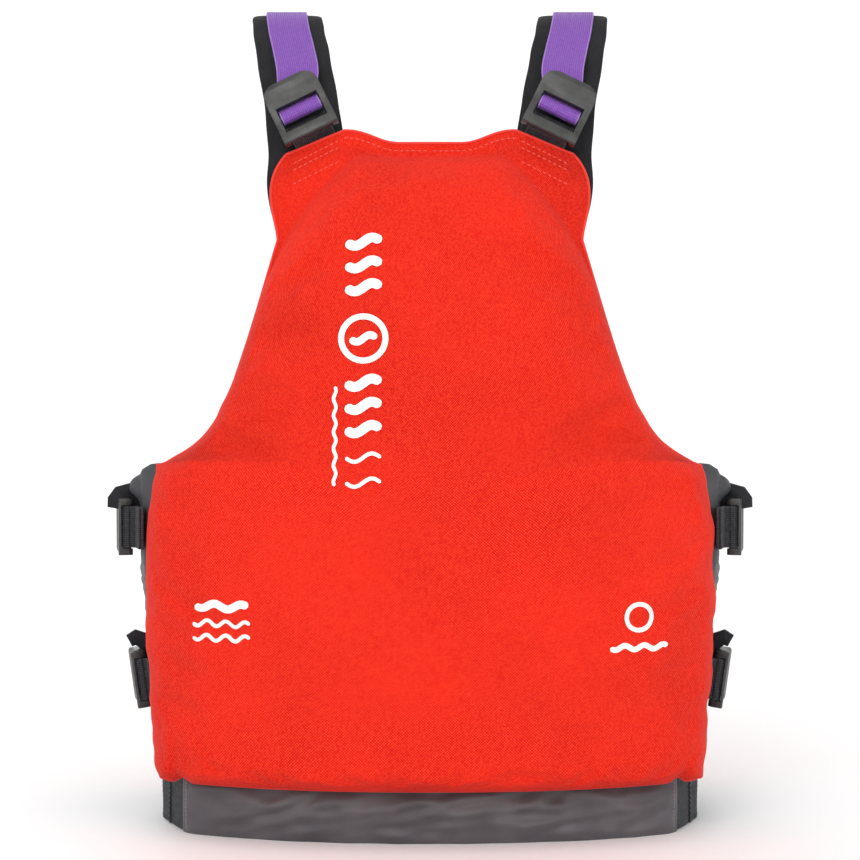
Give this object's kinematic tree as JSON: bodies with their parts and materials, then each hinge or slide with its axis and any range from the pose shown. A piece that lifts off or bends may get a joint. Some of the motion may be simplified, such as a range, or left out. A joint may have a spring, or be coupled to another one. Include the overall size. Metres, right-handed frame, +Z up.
{
  "type": "life jacket",
  "caption": "Paddling life jacket: foam-filled red vest with a front zip, padded shoulders with webbing and ladder-lock buckles, side straps and an elastic hem.",
  "frame": {"origin": "middle of the hem, in the plane that the hem rests on", "axes": "+Z up, the wearer faces -Y, the wearer's left is +X"},
  "size_m": [0.3894, 0.2551, 0.4992],
  "materials": {
    "cover_fabric": "coarse plain-weave nylon, matt",
    "foam": "closed-cell foam, matt",
    "lining": "smooth nylon lining, matt",
    "side_fabric": "gathered stretch fabric, matt",
    "hem_nylon": "wrinkled nylon, slight sheen",
    "elastic": "ribbed elastic, matt",
    "neoprene": "matt neoprene",
    "shoulder_webbing": "ribbed polyester webbing",
    "black_webbing": "ribbed nylon webbing",
    "buckle_plastic": "satin acetal",
    "zip_tape": "woven tape",
    "zip_plastic": "moulded",
    "zip_metal": "satin black enamel"
  },
  "bodies": {
    "back": {"back_cover": "cover_fabric", "back_foam": "foam", "back_liner": "lining", "waist_sleeve": "hem_nylon", "waist_elastic_back": "elastic", "waist_elastic_left": "elastic", "waist_elastic_right": "elastic", "side_panel_left": "side_fabric", "side_panel_right": "side_fabric", "shoulder_pad_left": "neoprene", "shoulder_pad_right": "neoprene", "shoulder_strap_left": "shoulder_webbing", "shoulder_strap_right": "shoulder_webbing", "shoulder_tab_left": "black_webbing", "shoulder_tab_right": "black_webbing", "side_tab_lower_left": "black_webbing", "side_tab_upper_left": "black_webbing", "side_tab_lower_right": "black_webbing", "side_tab_upper_right": "black_webbing", "side_strap_lower_left": "black_webbing", "side_strap_upper_left": "black_webbing", "side_strap_lower_right": "black_webbing", "side_strap_upper_right": "black_webbing"},
    "front_left": {"front_cover_left": "cover_fabric", "front_foam_left": "foam", "front_liner_left": "lining", "zip_tape_left": "zip_tape", "zip_teeth_left": "zip_plastic", "waist_band_left": "hem_nylon", "waist_belt_left": "black_webbing", "zip_box": "zip_plastic", "waist_buckle_socket": "buckle_plastic"},
    "front_right": {"front_cover_right": "cover_fabric", "front_foam_right": "foam", "front_liner_right": "lining", "zip_tape_right": "zip_tape", "zip_teeth_right": "zip_plastic", "waist_band_right": "hem_nylon", "waist_belt_right": "black_webbing", "zip_pin": "zip_plastic"},
    "shoulder_lock_left": {"shoulder_lock_left": "buckle_plastic"},
    "shoulder_lock_right": {"shoulder_lock_right": "buckle_plastic"},
    "side_lock_lower_left": {"side_lock_lower_left": "buckle_plastic"},
    "side_lock_upper_left": {"side_lock_upper_left": "buckle_plastic"},
    "side_lock_lower_right": {"side_lock_lower_right": "buckle_plastic"},
    "side_lock_upper_right": {"side_lock_upper_right": "buckle_plastic"},
    "zip_slider": {"zip_slider": "zip_metal"},
    "zip_pull": {"zip_pull": "zip_metal"},
    "waist_plug": {"waist_buckle_plug": "buckle_plastic"}
  },
  "joints": [
    {"name": "front_left_swing", "type": "hinge", "parent": "back", "child": "front_left", "pos_m": [0.11, -0.02, 0.48], "axis": [-0.1482, -0.0494, 0.9877], "range_deg": [0, 75]},
    {"name": "front_right_swing", "type": "hinge", "parent": "back", "child": "front_right", "pos_m": [-0.11, -0.02, 0.48], "axis": [-0.1482, 0.0494, -0.9877], "range_deg": [0, 75]},
    {"name": "shoulder_lock_left_tilt", "type": "hinge", "parent": "back", "child": "shoulder_lock_left", "pos_m": [0.0697, 0.086, 0.4125], "axis": [-0.9, 0, 0.4359], "range_deg": [0, 40]},
    {"name": "shoulder_lock_right_tilt", "type": "hinge", "parent": "back", "child": "shoulder_lock_right", "pos_m": [-0.0697, 0.086, 0.4125], "axis": [-0.9, 0, -0.4359], "range_deg": [0, 40]},
    {"name": "side_lock_lower_left_tilt", "type": "hinge", "parent": "back", "child": "side_lock_lower_left", "pos_m": [0.17364, 0.04554, 0.08701], "axis": [0.1365, 0.0306, 0.9902], "range_deg": [0, 40]},
    {"name": "side_lock_upper_left_tilt", "type": "hinge", "parent": "back", "child": "side_lock_upper_left", "pos_m": [0.18299, 0.04555, 0.17896], "axis": [0.0053, 0.0012, 1], "range_deg": [0, 40]},
    {"name": "side_lock_lower_right_tilt", "type": "hinge", "parent": "back", "child": "side_lock_lower_right", "pos_m": [-0.17364, 0.04554, 0.08701], "axis": [0.1365, -0.0306, -0.9902], "range_deg": [0, 40]},
    {"name": "side_lock_upper_right_tilt", "type": "hinge", "parent": "back", "child": "side_lock_upper_right", "pos_m": [-0.18299, 0.04555, 0.17896], "axis": [0.0053, -0.0012, -1], "range_deg": [0, 40]},
    {"name": "zip_slide", "type": "slide", "parent": "front_left", "child": "zip_slider", "axis": [0, 0, -1], "range_m": [0, 0.225]},
    {"name": "zip_pull_flip", "type": "hinge", "parent": "zip_slider", "child": "zip_pull", "pos_m": [0, -0.10995, 0.294], "axis": [-1, 0, 0], "range_deg": [0, 150]},
    {"name": "waist_clip", "type": "slide", "parent": "front_right", "child": "waist_plug", "axis": [1, 0, 0], "range_m": [0, 0.0256]}
  ]
}
